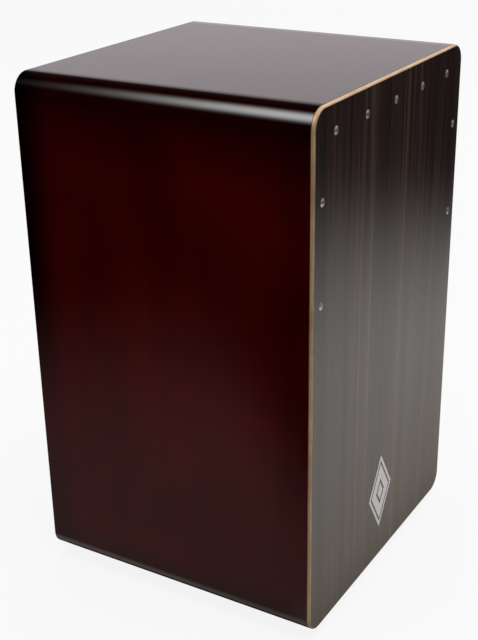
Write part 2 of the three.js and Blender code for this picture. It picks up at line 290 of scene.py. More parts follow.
def plate_material():
    """Near-black striped veneer, open grained, under a satin lacquer."""
    g, place = new_material("striped_veneer")
    broad = streaks(g, place, 60, 1.0)
    middle = streaks(g, place, 190, 2.0, offset=7.0)
    fine = streaks(g, place, 520, 4.5, offset=13.0)
    fibres = streaks(g, place, 1500, 16, offset=19.0)
    colour = g.ramp(g.weighted((broad, 0.36), (middle, 0.38), (fine, 0.16), (fibres, 0.10)),
                    (0.36, (0.0050, 0.0020, 0.0017)),
                    (0.46, (0.0160, 0.0066, 0.0052)),
                    (0.54, (0.0300, 0.0130, 0.0098)),
                    (0.64, (0.0900, 0.0560, 0.0380)))
    tint = g.ramp(streaks(g, place, 120, 1.6, offset=29.0),
                  (0.36, (0.86, 1.08, 0.92)),
                  (0.50, (1.00, 1.00, 1.00)),
                  (0.64, (1.16, 0.90, 1.02)))
    colour = g.mix(0.9, colour, tint, "MULTIPLY")
    parts = g.split(place)
    beside = g.range(g.math("ABSOLUTE", parts["X"]), 0.112, 0.146, smooth=True)
    edge = g.times(beside, g.range(parts["Z"], 0.26, 0.40, smooth=True))
    colour = g.mix(edge, colour, g.tinted(colour, 0.55))
    sheen = g.times(g.range(broad, 0.34, 0.66, 0.90, 1.0), g.range(edge, 0.0, 1.0, 1.0, 0.80))
    coat_roughness = g.range(middle, 0.35, 0.65, 0.17, 0.24)
    pores = g.range(fibres, 0.30, 0.48)
    return g.surface(
        Base_Color=colour, Roughness=0.5, Normal=g.bump(pores, 0.25, 0.00012),
        Specular_IOR_Level=0.1, Coat_Weight=sheen, Coat_Roughness=coat_roughness,
        Coat_Normal=g.bump(pores, 0.06, 0.00010))


def ply_edge_material():
    """The plate's sanded edge: the dark face layer, then pale plies with a glue line between."""
    g, place = new_material("ply_edge")
    depth = g.math("DIVIDE", g.math("SUBTRACT", g.split(place)["Y"], PLATE_FRONT * MM), MM)
    fibres = g.noise(g.stretched(place, (60, 900, 60)), detail=3, roughness=0.6)
    pale = g.ramp(fibres,
                  (0.3, (0.46, 0.305, 0.165)),
                  (0.5, (0.58, 0.395, 0.23)),
                  (0.7, (0.67, 0.485, 0.31)))
    patches = g.noise(place, scale=17, detail=2, distortion=0.5)
    stained = g.mix(g.range(patches, 0.50, 0.68, 0.0, 0.55), pale, (0.34, 0.17, 0.085))
    plies = g.ramp(g.math("DIVIDE", depth, PLATE_THICKNESS),
                   (0.10, 0.8), (0.20, 1.0), (0.52, 0.97), (0.56, 0.80), (0.60, 1.0),
                   (0.93, 0.9), (0.99, 0.4))
    # The edge darkens towards the shell behind it.
    towards_shell = g.range(depth, PLATE_THICKNESS * 0.78, PLATE_THICKNESS * 0.94, 0.0, 0.8)
    colour = g.mix(towards_shell, g.tinted(stained, plies), (0.30, 0.13, 0.055))
    face_layer = g.range(depth, VENEER - 0.05, VENEER + 0.05, 1.0, 0.0)
    colour = g.mix(face_layer, colour, (0.030, 0.017, 0.010))
    return g.surface(
        Base_Color=colour, Roughness=0.42, Specular_IOR_Level=0.4,
        Normal=g.bump(fibres, 0.3, 0.0001), Coat_Weight=0.25, Coat_Roughness=0.25)


def back_material():
    """Thin back panel: the same red stain, satin and a little lighter, with open grain."""
    g, place = new_material("stained_back")
    figure, fibres = grain(g, place, (26, 1, 1.1), (520, 1, 7), 0.8, 0.55)
    colour = g.ramp(figure,
                    (0.34, (0.018, 0.0022, 0.0018)),
                    (0.50, (0.042, 0.0060, 0.0045)),
                    (0.66, (0.085, 0.0150, 0.0100)))
    return g.surface(
        Base_Color=colour, Roughness=g.range(fibres, 0.3, 0.7, 0.30, 0.42),
        Normal=g.bump(fibres, 0.35, 0.00012), Specular_IOR_Level=0.45,
        Coat_Weight=0.35, Coat_Roughness=0.2)


def bare_wood_material(name, along, pale, dark):
    """Unfinished pale wood with its grain along one axis."""
    g, place = new_material(name)
    bands, fine = ([low if axis == along else high for axis in "XYZ"]
                   for low, high in ((3, 60), (14, 900)))
    figure, fibres = grain(g, place, bands, fine, 0.7, 0.6)
    colour = g.ramp(figure, (0.35, dark), (0.62, pale))
    return g.surface(
        Base_Color=colour, Roughness=g.range(fibres, 0.3, 0.7, 0.55, 0.72),
        Normal=g.bump(fibres, 0.4, 0.00015), Specular_IOR_Level=0.35)


def steel_material(name, colour, roughness):
    """Plated steel with faint turning marks and stains."""
    g, place = new_material(name)
    cloud = g.noise(place, scale=420, detail=3)
    fine = g.noise(g.stretched(place, (300, 4000, 300)), detail=2)
    return g.surface(
        Base_Color=g.tinted(colour, g.range(cloud, 0.3, 0.7, 0.82, 1.0)), Metallic=1.0,
        Roughness=g.range(cloud, 0.3, 0.7, roughness * 0.75, roughness * 1.4),
        Normal=g.bump(fine, 0.08, 0.00005))


def rubber_material():
    g, place = new_material("moulded_rubber")
    speckle = g.noise(place, scale=1600, detail=3, roughness=0.7)
    dust = g.noise(place, scale=60, detail=4)
    colour = g.mix(g.range(dust, 0.45, 0.8, 0.0, 0.5), (0.012, 0.012, 0.013), (0.045, 0.043, 0.041))
    return g.surface(
        Base_Color=colour, Roughness=g.range(dust, 0.3, 0.8, 0.62, 0.85),
        Normal=g.bump(speckle, 0.35, 0.00015), Specular_IOR_Level=0.4)


def foil_material():
    """Printed silver of the emblem, slightly worn."""
    g, place = new_material("silver_print")
    wear = g.noise(place, scale=330, detail=4, roughness=0.7)
    colour = g.mix(g.range(wear, 0.52, 0.70, 0.0, 0.7), (0.86, 0.87, 0.88), (0.34, 0.33, 0.325))
    return g.surface(
        Base_Color=colour, Metallic=0.2, Roughness=g.range(wear, 0.3, 0.7, 0.34, 0.5),
        Coat_Weight=0.3, Coat_Roughness=0.2)


BIRCH = ((0.66, 0.49, 0.31), (0.50, 0.34, 0.19))  # pale and dark grain
PINE = ((0.64, 0.45, 0.26), (0.44, 0.27, 0.13))
BEECH = ((0.70, 0.52, 0.34), (0.55, 0.37, 0.22))

LACQUER = lacquer_material()
VENEER_FACE = plate_material()
PLY_EDGE = ply_edge_material()
BACK_STAIN = back_material()
BARE_PLY = bare_wood_material("bare_birch_ply", "Z", *BIRCH)
BARE_PLY_LEVEL = bare_wood_material("bare_birch_ply_level", "X", *BIRCH)
BATTEN_UP = bare_wood_material("pine_upright", "Z", *PINE)
BATTEN_LEVEL = bare_wood_material("pine_level", "X", *PINE)
DOWEL = bare_wood_material("beech_dowel", "X", *BEECH)
BRIGHT_STEEL = steel_material("bright_plated_steel", (0.60, 0.59, 0.58), 0.34)
KNOB_STEEL = steel_material("nickel_knob", (0.66, 0.65, 0.63), 0.30)
WIRE_STEEL = steel_material("spring_wire", (0.72, 0.72, 0.73), 0.26)
RUBBER = rubber_material()
SILVER_PRINT = foil_material()

# ---- Mesh helpers ----

SMOOTH_ANGLE = 35  # degrees: sharper edges stay crisp
PANEL_SMOOTH_ANGLE = 30
MERGE_DISTANCE = 0.00001  # metres


def finish_mesh(mesh, smooth_angle):
    """Smooth shading, crisp at edges sharper than the angle. Wide flat faces keep their own
    normal and the narrow faces of a rounding bend towards them."""
    limit = math.cos(math.radians(smooth_angle))
    mesh.polygons.foreach_set("use_smooth", [True] * len(mesh.polygons))
    mesh.update()
    around = [[] for _ in mesh.vertices]
    for face in mesh.polygons:
        weighted = face.normal * face.area
        for vertex in face.vertices:
            around[vertex].append((face.normal.copy(), weighted))
    normals = [None] * len(mesh.loops)
    for face in mesh.polygons:
        for loop in face.loop_indices:
            total = Vector()
            for normal, weighted in around[mesh.loops[loop].vertex_index]:
                if normal.dot(face.normal) > limit:
                    total += weighted
            normals[loop] = total.normalized() if total.length > 0 else face.normal.copy()
    mesh.normals_split_custom_set(normals)
    mesh.update()


def clean(mesh, merge=False):
    """Turns all faces outward, after merging doubled points if asked."""
    bm = bmesh.new()
    bm.from_mesh(mesh)
    if merge:
        bmesh.ops.remove_doubles(bm, verts=bm.verts, dist=MERGE_DISTANCE)
    bmesh.ops.recalc_face_normals(bm, faces=bm.faces)
    bm.to_mesh(mesh)
    bm.free()


def joined(name, meshes):
    """One mesh made of several."""
    bm = bmesh.new()
    for part in meshes:
        bm.from_mesh(part)
    mesh = bpy.data.meshes.new(name)
    bm.to_mesh(mesh)
    bm.free()
    return mesh


def raw_mesh(name, vertices, faces):
    """A mesh from points in millimetres, closed and facing out."""
    mesh = bpy.data.meshes.new(name)
    mesh.from_pydata([Vector(v) * MM for v in vertices], [], faces)
    clean(mesh)
    return mesh


def mesh_from(name, vertices, faces, smooth_angle=SMOOTH_ANGLE):
    mesh = raw_mesh(name, vertices, faces)
    finish_mesh(mesh, smooth_angle)
    return mesh


def add_object(name, data):
    """A new object in the scene."""
    thing = bpy.data.objects.new(name, data)
    bpy.context.scene.collection.objects.link(thing)
    return thing


def evaluated_mesh(source):
    """An object's mesh as its modifiers or curve settings make it."""
    bpy.context.view_layer.update()
    graph = bpy.context.evaluated_depsgraph_get()
    return bpy.data.meshes.new_from_object(source.evaluated_get(graph))


def show(name, mesh, materials, body="box"):
    """Puts a mesh in the scene as a piece that rides on a CAD body."""
    piece = add_object(name, mesh)
    for material in materials:
        mesh.materials.append(material)
    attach(piece, body)
    return piece


def show_for(node, mesh, materials, body="box"):
    """Shows a mesh in the place of a CAD node."""
    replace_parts(show(node + "_fine", mesh, materials, body), node)


def skin(rings, count, start=0, closed=False):
    """Faces between successive rings of points, with an end cap on each side unless closed."""
    faces = []
    for k in range(rings if closed else rings - 1):
        a = start + k * count
        b = start + (k + 1) % rings * count
        for i in range(count):
            j = (i + 1) % count
            faces.append((a + i, a + j, b + j, b + i))
    if not closed:
        last = start + (rings - 1) * count
        faces.append(tuple(start + i for i in range(count)))
        faces.append(tuple(last + i for i in reversed(range(count))))
    return faces


def rings_mesh(name, rings, segments, closed=False):
    """A form turned about the Y axis. A ring is (y, radius) or (y, radius as a function of angle)."""
    vertices = []
    for y, radius in rings:
        for i in range(segments):
            angle = TAU * i / segments
            r = radius(angle) if callable(radius) else radius
            vertices.append((r * math.cos(angle), y, r * math.sin(angle)))
    return mesh_from(name, vertices, skin(len(rings), segments, closed=closed))


def cut_mesh(mesh, cutters):
    """The mesh with each cutter taken away."""
    body = add_object("cut_body", mesh)
    tools = [add_object("cut_tool", cutter) for cutter in cutters]
    for tool in tools:
        modifier = body.modifiers.new("cut", "BOOLEAN")
        modifier.operation = "DIFFERENCE"
        modifier.solver = "EXACT"
        modifier.object = tool
    result = evaluated_mesh(body)
    for extra in [body, *tools]:
        bpy.data.objects.remove(extra)
    finish_mesh(result, SMOOTH_ANGLE)
    return result


def eased_stations(front, back, ease, steps=4):
    """(y, inset) along a sweep whose two ends are rounded over."""
    turns = [QUARTER * i / steps for i in range(steps + 1)]
    rim = [(ease * (1 - math.cos(turn)), ease * (1 - math.sin(turn))) for turn in turns]
    return [(front + y, inset) for y, inset in rim] + [(back - y, inset) for y, inset in reversed(rim)]


def sweep_mesh(name, section, inner_faces):
    """Sweeps a section in x and z along the depth of the shell, easing the rims.

    A section point is (x, z, ease direction x, ease direction z). The section's sides that
    inner_faces numbers face into the box and get the second material.
    """
    stations = eased_stations(PLATE_BACK, SHELL_BACK, RIM_EASE)
    count = len(section)
    vertices = [(x + ease_x * inset, y, z + ease_z * inset)
                for y, inset in stations for x, z, ease_x, ease_z in section]
    mesh = mesh_from(name, vertices, skin(len(stations), count), PANEL_SMOOTH_ANGLE)
    for i in range((len(stations) - 1) * count):
        mesh.polygons[i].material_index = 1 if i % count in inner_faces else 0
    return mesh


def filled_mesh(name, outlines, front, back, ease):
    """A flat board in x and z with holes: the first outline is the rim, the others are holes.
    Every edge is rounded by ease."""
    curve = bpy.data.curves.new(name, "CURVE")
    curve.dimensions = "2D"
    curve.fill_mode = "BOTH"
    curve.extrude = (back - front) / 2 - ease
    curve.bevel_depth = ease
    curve.bevel_resolution = 2
    curve.offset = -ease
    for points in outlines:
        spline = curve.splines.new("POLY")
        spline.points.add(len(points) - 1)
        for slot, (x, z) in zip(spline.points, points):
            slot.co = (x, z, 0, 1)
        spline.use_cyclic_u = True
    draft = add_object("draft", curve)
    mesh = evaluated_mesh(draft)
    bpy.data.objects.remove(draft)
    upright = Matrix.Rotation(QUARTER, 4, "X")
    middle = Matrix.Translation((0, (front + back) / 2, 0))
    mesh.transform(Matrix.Scale(MM, 4) @ middle @ upright)
    clean(mesh, merge=True)
    finish_mesh(mesh, SMOOTH_ANGLE)
    return mesh


def arc_points(x, z, radius, start, end, steps):
    angles = [start + (end - start) * i / steps for i in range(steps + 1)]
    return [(x + radius * math.cos(angle), z + radius * math.sin(angle)) for angle in angles]


def circle_points(x, z, radius, steps):
    return arc_points(x, z, radius, 0, TAU * (steps - 1) / steps, steps - 1)


def rounded_outline(x, bottom, top, radius, steps=20):
    """A rectangle with round corners, centred on x = 0, anticlockwise."""
    inner_x = x - radius
    low = bottom + radius
    high = top - radius
    return (arc_points(inner_x, low, radius, -QUARTER, 0, steps)
            + arc_points(inner_x, high, radius, 0, QUARTER, steps)
            + arc_points(-inner_x, high, radius, QUARTER, math.pi, steps)
            + arc_points(-inner_x, low, radius, math.pi, 3 * QUARTER, steps))


# ---- Shell ----

PANEL_X = HALF_WIDTH - EDGE_RADIUS
PANEL_LOW = BOX_BOTTOM + EDGE_RADIUS
PANEL_HIGH = BOX_TOP - EDGE_RADIUS
SIDES = ((-1, "left"), (1, "right"))
LEVELS = ((1, "top", BOX_TOP, INSIDE_TOP), (-1, "bottom", BOX_BOTTOM, INSIDE_BOTTOM))
SOFT_BAND = 9  # the level panels' margin that falls away towards the round-over
SOFTENING = math.radians(4.0)


def upright_section(side):
    """A side panel's section: outer face, then inner face."""
    outer = side * HALF_WIDTH
    inner = side * INSIDE_X
    return [(outer, PANEL_LOW, -side, 0), (outer, PANEL_HIGH, -side, 0),
            (inner, PANEL_HIGH, side, 0), (inner, PANEL_LOW, side, 0)]


def level_section(outer, inner, inward):
    """The top or bottom panel's section."""
    flat = PANEL_X - SOFT_BAND
    face = [(x, outer, 0, inward) for x in (-PANEL_X, -flat, flat, PANEL_X)]
    return face + [(PANEL_X, inner, 0, -inward), (-PANEL_X, inner, 0, -inward)]


def rail_section(side_x, side_z, inner_z, steps=40):
    """A corner rail's section: the round-over, then the square step inside."""
    centre_x = side_x * PANEL_X
    centre_z = PANEL_HIGH if side_z > 0 else PANEL_LOW
    outer_x = side_x * INSIDE_X
    section = []
    for i in range(steps + 1):
        turn = QUARTER * i / steps
        out_x = side_x * math.cos(turn)
        out_z = side_z * math.sin(turn)
        section.append((centre_x + EDGE_RADIUS * out_x, centre_z + EDGE_RADIUS * out_z,
                        -out_x, -out_z))
    return section + [(centre_x, inner_z, 0, side_z), (outer_x, inner_z, side_x, side_z),
                      (outer_x, centre_z, side_x, 0)]


def round_over_normal(point, side_z):
    """Normal of the shell near a corner: the level panel falls away a little before the round-over."""
    over = abs(point.x) / MM - PANEL_X
    if over <= 0:
        angle = SOFTENING * max(0.0, 1 + over / SOFT_BAND)
    else:
        centre = PANEL_HIGH if side_z > 0 else PANEL_LOW
        turn = math.atan2(over, abs(point.z / MM - centre))
        angle = SOFTENING + (QUARTER - SOFTENING) * turn / QUARTER
    return Vector((math.copysign(math.sin(angle), point.x), 0, side_z * math.cos(angle)))


def soften_corner(mesh, side_z):
    """Exact normals on the outer face of a level panel or a rail, so that the gloss runs on."""
    normals = [Vector(n.vector) for n in mesh.corner_normals]
    for face in mesh.polygons:
        if abs(face.normal.y) > 0.01:
            continue
        if face.normal.dot(round_over_normal(face.center, side_z)) > 0.99:
            for loop in face.loop_indices:
                point = mesh.vertices[mesh.loops[loop].vertex_index].co
                normals[loop] = round_over_normal(point, side_z)
    mesh.normals_split_custom_set(normals)


def build_strip(node, section, inner_faces, wood, side_z=0):
    """One board or rail of the shell. side_z says on which level its gloss is softened."""
    mesh = sweep_mesh(node, section, inner_faces)
    if side_z:
        soften_corner(mesh, side_z)
    show_for(node, mesh, [LACQUER, wood])


def build_shell():
    for side, name in SIDES:
        build_strip(f"{name}_side_panel", upright_section(side), {2}, BARE_PLY)
    for side_z, level, outer, inner in LEVELS:
        section = level_section(outer, inner, -side_z)
        build_strip(f"{level}_panel", section, {4}, BARE_PLY_LEVEL, side_z)
    for side_x, name in SIDES:
        for side_z, level, _, inner_z in LEVELS:
            section = rail_section(side_x, side_z, inner_z)
            inner_faces = {len(section) - 3, len(section) - 2}
            build_strip(f"corner_rail_{level}_{name}", section, inner_faces, BARE_PLY, side_z)


# ---- Playing plate, emblem and back panel ----

PLATE_STEPS = 6  # across the rounding of its rim
PLATE_SCREWS = 9
BACK_SCREWS = 8
BACK_EASE = 0.6
SOUND_HOLE_STEPS = 128
FORWARD = Matrix.Identity(4)  # a screw's head faces -Y as it is made
BACKWARD = Matrix.Rotation(math.pi, 4, "Z")
DOWNWARD = Matrix.Rotation(QUARTER, 4, "X")


def set_board_materials(mesh, face_test, inner_test):
    """Material 0 on the face, 1 on the edges and 2 on the inside."""
    for face in mesh.polygons:
        edge = 2 if inner_test(face.normal) else 1
        face.material_index = 0 if face_test(face.normal) else edge


def plate_board():
    """The plate without holes: its front rim is rounded, its back edge is sharp."""
    front_half = eased_stations(PLATE_FRONT, PLATE_BACK, PLATE_EASE, PLATE_STEPS)[:PLATE_STEPS + 1]
    vertices = []
    for y, inset in [*front_half, (PLATE_BACK, 0)]:
        outline = rounded_outline(HALF_WIDTH - inset, BOX_BOTTOM + inset, BOX_TOP - inset,
                                  EDGE_RADIUS - inset)
        vertices += [(x, y, z) for x, z in outline]
    return mesh_from("front_plate", vertices, skin(len(vertices) // len(outline), len(outline)))


def sunk_board(board, face, facing, depth, screws, count):
    """The board with a countersunk hole for each of its screws."""
    sink = countersink(depth)
    sink.transform(facing)
    holes = [turned_copy(sink, Matrix.Translation((at.x, face * MM, at.z)))
             for at in centres(screws, count)]
    return cut_mesh(board, holes)


def build_plate():
    mesh = sunk_board(plate_board(), PLATE_FRONT, FORWARD, PLATE_THICKNESS,
                      "front_plate_screw", PLATE_SCREWS)
    set_board_materials(mesh, lambda n: n.y < -0.99, lambda n: n.y > 0.9)
    show_for("front_plate", mesh, [VENEER_FACE, PLY_EDGE, BARE_PLY])


def build_back():
    outlines = [rounded_outline(BACK_HIGH.x, BACK_LOW.z, BACK_HIGH.z, BACK_EASE, 3),
                circle_points(0, SOUND_HOLE_HEIGHT, SOUND_HOLE_RADIUS, SOUND_HOLE_STEPS)]
    board = filled_mesh("back_panel", outlines, BACK_LOW.y, BACK_HIGH.y, BACK_EASE)
    mesh = sunk_board(board, SHELL_BACK, BACKWARD, BACK_HIGH.y - BACK_LOW.y,
                      "back_panel_screw", BACK_SCREWS)
    set_board_materials(mesh, lambda n: n.y > -0.2, lambda n: n.y < -0.9)
    show_for("back_panel", mesh, [BACK_STAIN, BACK_STAIN, BARE_PLY])


EMBLEM_X = -5
EMBLEM_HEIGHT = 74  # of its centre above the plate's lower edge
EMBLEM_HALF_WIDTH = 25
EMBLEM_HALF_HEIGHT = 40
EMBLEM_THICKNESS = 0.08
EMBLEM_SINK = 0.02
EMBLEM_EASE = 0.01
EMBLEM_BANDS = ((1.0, 0.86), (0.76, 0.36), (0.24,))  # outer and inner scale


def lozenge(scale):
    wide = EMBLEM_HALF_WIDTH * scale
    tall = EMBLEM_HALF_HEIGHT * scale
    z = BOX_BOTTOM + EMBLEM_HEIGHT
    return [(EMBLEM_X, z - tall), (EMBLEM_X + wide, z), (EMBLEM_X, z + tall), (EMBLEM_X - wide, z)]


def build_emblem():
    """A plain mark of nested lozenges, printed low on the plate."""
    bands = [filled_mesh("emblem_part", [lozenge(scale) for scale in band],
                         PLATE_FRONT - EMBLEM_THICKNESS, PLATE_FRONT + EMBLEM_SINK, EMBLEM_EASE)
             for band in EMBLEM_BANDS]
    show("plate_emblem", joined("plate_emblem", bands), [SILVER_PRINT])


# ---- Screws ----

THREAD_SAMPLES = 7  # rings per turn of a thread
DOME_STEPS = 8
NECK_LENGTH = 2.4
POINT_RADIUS = 0.06


def thread_radius(y, core, depth):
    """Radius of a helical thread at y, as a function of the angle."""
    def radius(angle):
        phase = (y / THREAD_PITCH - angle / TAU) % 1.0
        return core + depth * max(0.0, 1 - abs(phase - 0.5) * 4)
    return radius


def thread_rings(shank_radius, start, length):
    """Rings of a threaded shank from its plain neck to its point."""
    core = shank_radius * 0.72
    tip = shank_radius * 2.2
    neck = start + NECK_LENGTH
    rings = [(start, shank_radius * 0.9), (neck, shank_radius * 0.9)]
    y = neck + THREAD_PITCH / THREAD_SAMPLES
    while y < length - 0.2:
        taper = min(1.0, (length - y) / tip)
        depth = (shank_radius - core) * min(1.0, taper * 1.4)
        rings.append((y, thread_radius(y, core * taper, depth)))
        y += THREAD_PITCH / THREAD_SAMPLES
    rings.append((length, POINT_RADIUS))
    return rings


def recess_cutter(top, floor, reach, width, quarter):
    """One bar of a cross recess, tapering to its floor. The head's top faces -Y."""
    vertices = []
    for y, scale_x, scale_z in ((top - 1.0, 1.15, 1.2), (floor, 0.35, 0.7)):
        for sx, sz in ((-1, -1), (1, -1), (1, 1), (-1, 1)):
            x = sx * reach * scale_x
            z = sz * width * scale_z
            vertices.append((-z, y, x) if quarter else (x, y, z))
    faces = [(0, 1, 2, 3), (7, 6, 5, 4), (0, 4, 5, 1), (1, 5, 6, 2), (2, 6, 7, 3), (3, 7, 4, 0)]
    return mesh_from("recess", vertices, faces)


def recessed(mesh, head_radius, top, floor):
    """The screw with a cross recess in its head."""
    return cut_mesh(mesh, [recess_cutter(top, floor, head_radius * 0.36, head_radius * 0.09, quarter)
                           for quarter in (False, True)])


def pan_screw(name, head_radius, head_height, shank_radius, length):
    """A pan-head screw; its seat is at y = 0 and its head at -Y."""
    rim = head_height * 0.28
    turns = [QUARTER * i / DOME_STEPS for i in range(1, DOME_STEPS + 1)]
    rings = [(-rim - (head_height - rim) * math.cos(turn) ** 0.8, head_radius * math.sin(turn))
             for turn in turns]
    rings += [(-rim * 0.4, head_radius), (-rim * 0.08, head_radius * 0.985), (0.0, head_radius * 0.95)]
    mesh = rings_mesh(name, rings + thread_rings(shank_radius, 0.0, length), 32)
    return recessed(mesh, head_radius, -head_height, -head_height * 0.4)


def countersunk_screw(name, length):
    """A raised countersunk screw; its head's rim is at y = 0 and its low dome at -Y."""
    dome_radius = (HEAD_RADIUS ** 2 + HEAD_DOME ** 2) / (2 * HEAD_DOME)
    radii = [HEAD_RADIUS * i / DOME_STEPS for i in range(1, DOME_STEPS + 1)]
    rings = [(dome_radius - HEAD_DOME - math.sqrt(dome_radius ** 2 - r ** 2), r) for r in radii]
    rings += [(HEAD_RIM * 0.4, HEAD_RADIUS), (HEAD_RIM, HEAD_RADIUS * 0.97)]
    cone_end = HEAD_RIM + HEAD_RADIUS - SHANK_RADIUS
    mesh = rings_mesh(name, rings + thread_rings(SHANK_RADIUS, cone_end, length), 40)
    return recessed(mesh, HEAD_RADIUS, -HEAD_DOME, 0.5)


def countersink(depth):
    """The clearance cut for such a screw through a board whose face is at y = 0."""
    head = HEAD_RADIUS + 0.12
    cone_start = HEAD_SINK + HEAD_RIM
    cone_end = cone_start + HEAD_RADIUS - SHANK_RADIUS
    rings = [(-1.0, head + 1.0), (0.0, head + 0.05), (0.1, head), (cone_start, head),
             (cone_end, SCREW_HOLE_RADIUS), (depth + 1.0, SCREW_HOLE_RADIUS)]
    return rings_mesh("countersink", rings, 40)


def move(x, y, z):
    """A move in millimetres."""
    return Matrix.Translation(Vector((x, y, z)) * MM)


def turned_copy(mesh, matrix):
    copy = mesh.copy()
    copy.transform(matrix)
    return copy


def centres(prefix, count):
    """Centres of the CAD nodes prefix_1 to prefix_count, in metres."""
    boxes = [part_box(f"{prefix}_{i}") for i in range(1, count + 1)]
    return [(low + high) / 2 for low, high in boxes]


def build_row(prefix, count, screw, axis, seat, facing, step, body="box"):
    """A copy of the screw in the place of each of a row of CAD screws.

    The screw is seated at a height along the axis, and each one is turned a step further.
    """
    for i, place in enumerate(centres(prefix, count), 1):
        place["XYZ".index(axis)] = seat * MM
        turned = Matrix.Translation(place) @ facing @ Matrix.Rotation(step * i, 4, "Y")
        show_for(f"{prefix}_{i}", turned_copy(screw, turned), [BRIGHT_STEEL],
                 body.format(i))


def build_screws():
    """Screws of the plate, the back and the feet. Each plate screw rides on its own body."""
    build_row("front_plate_screw", PLATE_SCREWS, countersunk_screw("plate_screw", 20),
              "Y", PLATE_FRONT + HEAD_SINK, FORWARD, 0.9, "plate_screw_{}")
    build_row("back_panel_screw", BACK_SCREWS, countersunk_screw("back_screw", 18),
              "Y", SHELL_BACK - HEAD_SINK, BACKWARD, 1.3)
    build_row("foot_screw", FOOT_COUNT, pan_screw("foot_screw", 4.2, 2.6, 1.75, 12),
              "Z", FOOT_RECESS_DEPTH, DOWNWARD, 0.7)


# ---- Feet ----

FOOT_COUNT = 4
FOOT_RECESS_DEPTH = 5
FOOT_RECESS_RADIUS = 6


def build_feet():
    height = FOOT_HIGH.z
    top = (FOOT_HIGH.x - FOOT_LOW.x) / 2
    sole = top - 2
    lip = 0.8
    groove = top - 6.5
    profile = [
        (FOOT_RECESS_DEPTH, SCREW_HOLE_RADIUS), (FOOT_RECESS_DEPTH, FOOT_RECESS_RADIUS),
        (lip, FOOT_RECESS_RADIUS), (lip * 0.3, FOOT_RECESS_RADIUS + lip * 0.3),
        (0, FOOT_RECESS_RADIUS + lip), (0, groove - 0.6), (0.6, groove), (0, groove + 0.6),
        (0, sole - 1.2), (0.35, sole - 0.35), (1.2, sole),
        (height - 2.4, top - 0.45), (height - 1.8, top), (height - 0.4, top), (height, top - 0.4),
        (height, SCREW_HOLE_RADIUS),
    ]
    mesh = rings_mesh("rubber_foot", profile, 64, closed=True)
    mesh.transform(DOWNWARD)
    for i, centre in enumerate(centres("rubber_foot", FOOT_COUNT), 1):
        place = Matrix.Translation((centre.x, centre.y, 0))
        show_for(f"rubber_foot_{i}", turned_copy(mesh, place), [RUBBER])


# ---- Snare ----

BAR_RADIUS = 10
BAR_FLAT = 7
JOURNAL_RADIUS = 6
BAR_HALF = 99
CLIP_GAP = 0.3
CLIP_THICKNESS = 3
CLIP_WIDTH = 56
CLIP_HEIGHT = 10
CLIP_CENTRE = 45
CLIP_SCREW_OFFSET = 24
STRAND_COUNT = 10
STRAND_SPACING = 4
STRAND_LENGTH = 88
STRAND_FAN = math.radians(12)
STRAND_PLATE_GAP = 0.4
COIL_RADIUS = 1.2
WIRE_RADIUS = 0.24
COIL_PITCH = 0.95
COIL_SIDES = 5
COIL_STEPS = 12  # per turn
CLIP_SHEET = 0.7
CLIP_CHAMFER = 0.8
CLIP_SHARP_ANGLE = math.radians(40)
BAR_CHAMFER = 0.8
WIRE_SCREW_HOLE = 1.5
CLIP_BACK = -BAR_FLAT - CLIP_GAP
CLIP_FRONT = CLIP_BACK - CLIP_THICKNESS
STRAND_Y = (CLIP_BACK + CLIP_FRONT) / 2
WIRE_SCREW_SEAT = CLIP_FRONT - CLIP_GAP


def snare_matrix():
    """From the bar's own frame to the row frame: it leans until the strands nearly touch."""
    forward = -STRAND_Y
    up = STRAND_LENGTH * math.cos(STRAND_FAN)
    reach = SNARE_AXIS.y - PLATE_BACK - STRAND_PLATE_GAP - COIL_RADIUS
    lean = math.atan2(up, forward) - math.acos(reach / math.hypot(up, forward))
    return move(*SNARE_AXIS) @ Matrix.Rotation(lean, 4, "X")


def bar_mesh():
    """The dowel: journals at its ends, and a flat along its front. Turned about X."""
    end = box_mm("snare_bar")[1].x
    half = [(BAR_HALF - BAR_CHAMFER, BAR_RADIUS), (BAR_HALF, BAR_RADIUS - BAR_CHAMFER),
            (BAR_HALF, JOURNAL_RADIUS), (end - BAR_CHAMFER, JOURNAL_RADIUS),
            (end, JOURNAL_RADIUS - BAR_CHAMFER)]
    rings = [(-x, radius) for x, radius in reversed(half)] + half
    mesh = rings_mesh("snare_bar", rings, 72)
    mesh.transform(Matrix.Rotation(-QUARTER, 4, "Z"))
    far = 3 * BAR_RADIUS
    flat = box_mesh("flat", (-BAR_HALF - 2, -far, -far), (BAR_HALF + 2, -BAR_FLAT, far))
    holes = [wire_screw_hole(-BAR_FLAT - 2, -1, x) for x in wire_screw_spots()]
    return cut_mesh(mesh, [flat, *holes])


def box_mesh(name, low, high):
    corners = [(x, y, z) for x in (low[0], high[0])
               for y, z in ((low[1], low[2]), (high[1], low[2]), (high[1], high[2]), (low[1], high[2]))]
    return mesh_from(name, corners, skin(2, 4))


def wire_screw_spots():
    return [side * CLIP_CENTRE + end * CLIP_SCREW_OFFSET for side in (-1, 1) for end in (-1, 1)]


def wire_screw_hole(front, back, x):
    hole = rings_mesh("hole", [(front, WIRE_SCREW_HOLE), (back, WIRE_SCREW_HOLE)], 24)
    hole.transform(move(x, 0, 0))
    return hole


def coil(base, along, length, vertices, faces):
    """Adds a coiled strand: a thin wire wound round the line from base."""
    steps = int(length / COIL_PITCH * COIL_STEPS)
    across = Vector((0, 1, 0))
    third = along.cross(across).normalized()
    start = len(vertices)
    for i in range(steps + 1):
        angle = TAU * i / COIL_STEPS
        out = across * math.cos(angle) + third * math.sin(angle)
        middle = base + along * (COIL_PITCH * i / COIL_STEPS) + out * (COIL_RADIUS - WIRE_RADIUS)
        for k in range(COIL_SIDES):
            turn = TAU * k / COIL_SIDES
            vertices.append(middle + out * (WIRE_RADIUS * math.cos(turn))
                            + along * (WIRE_RADIUS * math.sin(turn)))
    faces += skin(steps + 1, COIL_SIDES, start)


